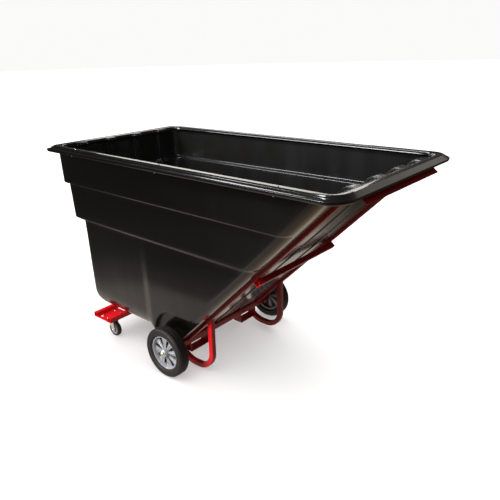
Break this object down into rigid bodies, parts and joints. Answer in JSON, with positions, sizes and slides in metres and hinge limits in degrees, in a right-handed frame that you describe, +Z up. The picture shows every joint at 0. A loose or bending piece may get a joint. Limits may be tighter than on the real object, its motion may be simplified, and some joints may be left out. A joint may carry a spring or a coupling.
{
  "type": "tilt truck",
  "caption": "Black moulded tilt truck: a stepped hopper with a sloping dump end on a red tube frame, with large side wheels, rear swivel casters, rocker loops and fork pockets.",
  "frame": {"origin": "centre of the footprint on the ground, under the middle of the rim", "axes": "+X toward the sloping dump end, +Y to the left seen from behind, +Z up"},
  "size_m": [2.099, 1.142, 1.272],
  "materials": {
    "polyethylene": "moulded black polyethylene, soft sheen",
    "frame_paint": "glossy red powder coat",
    "tyre": "dark grey-brown solid rubber",
    "wheel_centre": "silver-grey moulded centre",
    "zinc": "bright zinc plate",
    "axle_steel": "drawn steel bar",
    "bushing": "black nylon",
    "caster_rubber": "black rubber",
    "caster_centre": "black moulded centre"
  },
  "bodies": {
    "truck": {"tub": "polyethylene", "lower_cross_member": "frame_paint", "mid_cross_member": "frame_paint", "upper_cross_member": "frame_paint", "caster_tube_front": "frame_paint", "caster_tube_rear": "frame_paint", "axle": "axle_steel", "side_rail_left": "frame_paint", "side_rail_right": "frame_paint", "rocker_loop_left": "frame_paint", "rocker_loop_right": "frame_paint", "fork_pocket_left": "frame_paint", "fork_pocket_right": "frame_paint", "base_rail_left": "frame_paint", "base_rail_right": "frame_paint", "caster_mount_left": "frame_paint", "caster_mount_right": "frame_paint", "caster_plate_left": "zinc", "caster_plate_right": "zinc", "caster_race_left": "zinc", "caster_race_right": "zinc", "kingpin_left": "zinc", "kingpin_right": "zinc", "axle_bush_left": "bushing", "axle_bush_right": "bushing", "axle_washer_left": "zinc", "axle_washer_right": "zinc", "hub_cap_left": "zinc", "hub_cap_right": "zinc", "mount_bolt_left_1": "zinc", "mount_bolt_left_2": "zinc", "mount_bolt_left_3": "zinc", "mount_bolt_left_4": "zinc", "mount_bolt_right_1": "zinc", "mount_bolt_right_2": "zinc", "mount_bolt_right_3": "zinc", "mount_bolt_right_4": "zinc"},
    "left_wheel": {"tyre_left": "tyre", "hub_left": "wheel_centre"},
    "right_wheel": {"tyre_right": "tyre", "hub_right": "wheel_centre"},
    "left_swivel": {"caster_fork_left": "zinc", "caster_axle_left": "zinc"},
    "right_swivel": {"caster_fork_right": "zinc", "caster_axle_right": "zinc"},
    "left_caster_wheel": {"caster_tyre_left": "caster_rubber", "caster_core_left": "caster_centre"},
    "right_caster_wheel": {"caster_tyre_right": "caster_rubber", "caster_core_right": "caster_centre"}
  },
  "joints": [
    {"name": "left_wheel_spin", "type": "hinge", "parent": "truck", "child": "left_wheel", "pos_m": [-0.132, 0.48, 0.1524], "axis": [0, 1, 0], "continuous": true},
    {"name": "left_caster_swivel", "type": "hinge", "parent": "truck", "child": "left_swivel", "pos_m": [-0.792, 0.39, 0.12], "axis": [0, 0, 1], "continuous": true},
    {"name": "left_caster_spin", "type": "hinge", "parent": "left_swivel", "child": "left_caster_wheel", "pos_m": [-0.767, 0.39, 0.05], "axis": [0, 1, 0], "continuous": true},
    {"name": "right_wheel_spin", "type": "hinge", "parent": "truck", "child": "right_wheel", "pos_m": [-0.132, -0.48, 0.1524], "axis": [0, 1, 0], "continuous": true},
    {"name": "right_caster_swivel", "type": "hinge", "parent": "truck", "child": "right_swivel", "pos_m": [-0.792, -0.39, 0.12], "axis": [0, 0, 1], "continuous": true},
    {"name": "right_caster_spin", "type": "hinge", "parent": "right_swivel", "child": "right_caster_wheel", "pos_m": [-0.767, -0.39, 0.05], "axis": [0, 1, 0], "continuous": true}
  ]
}
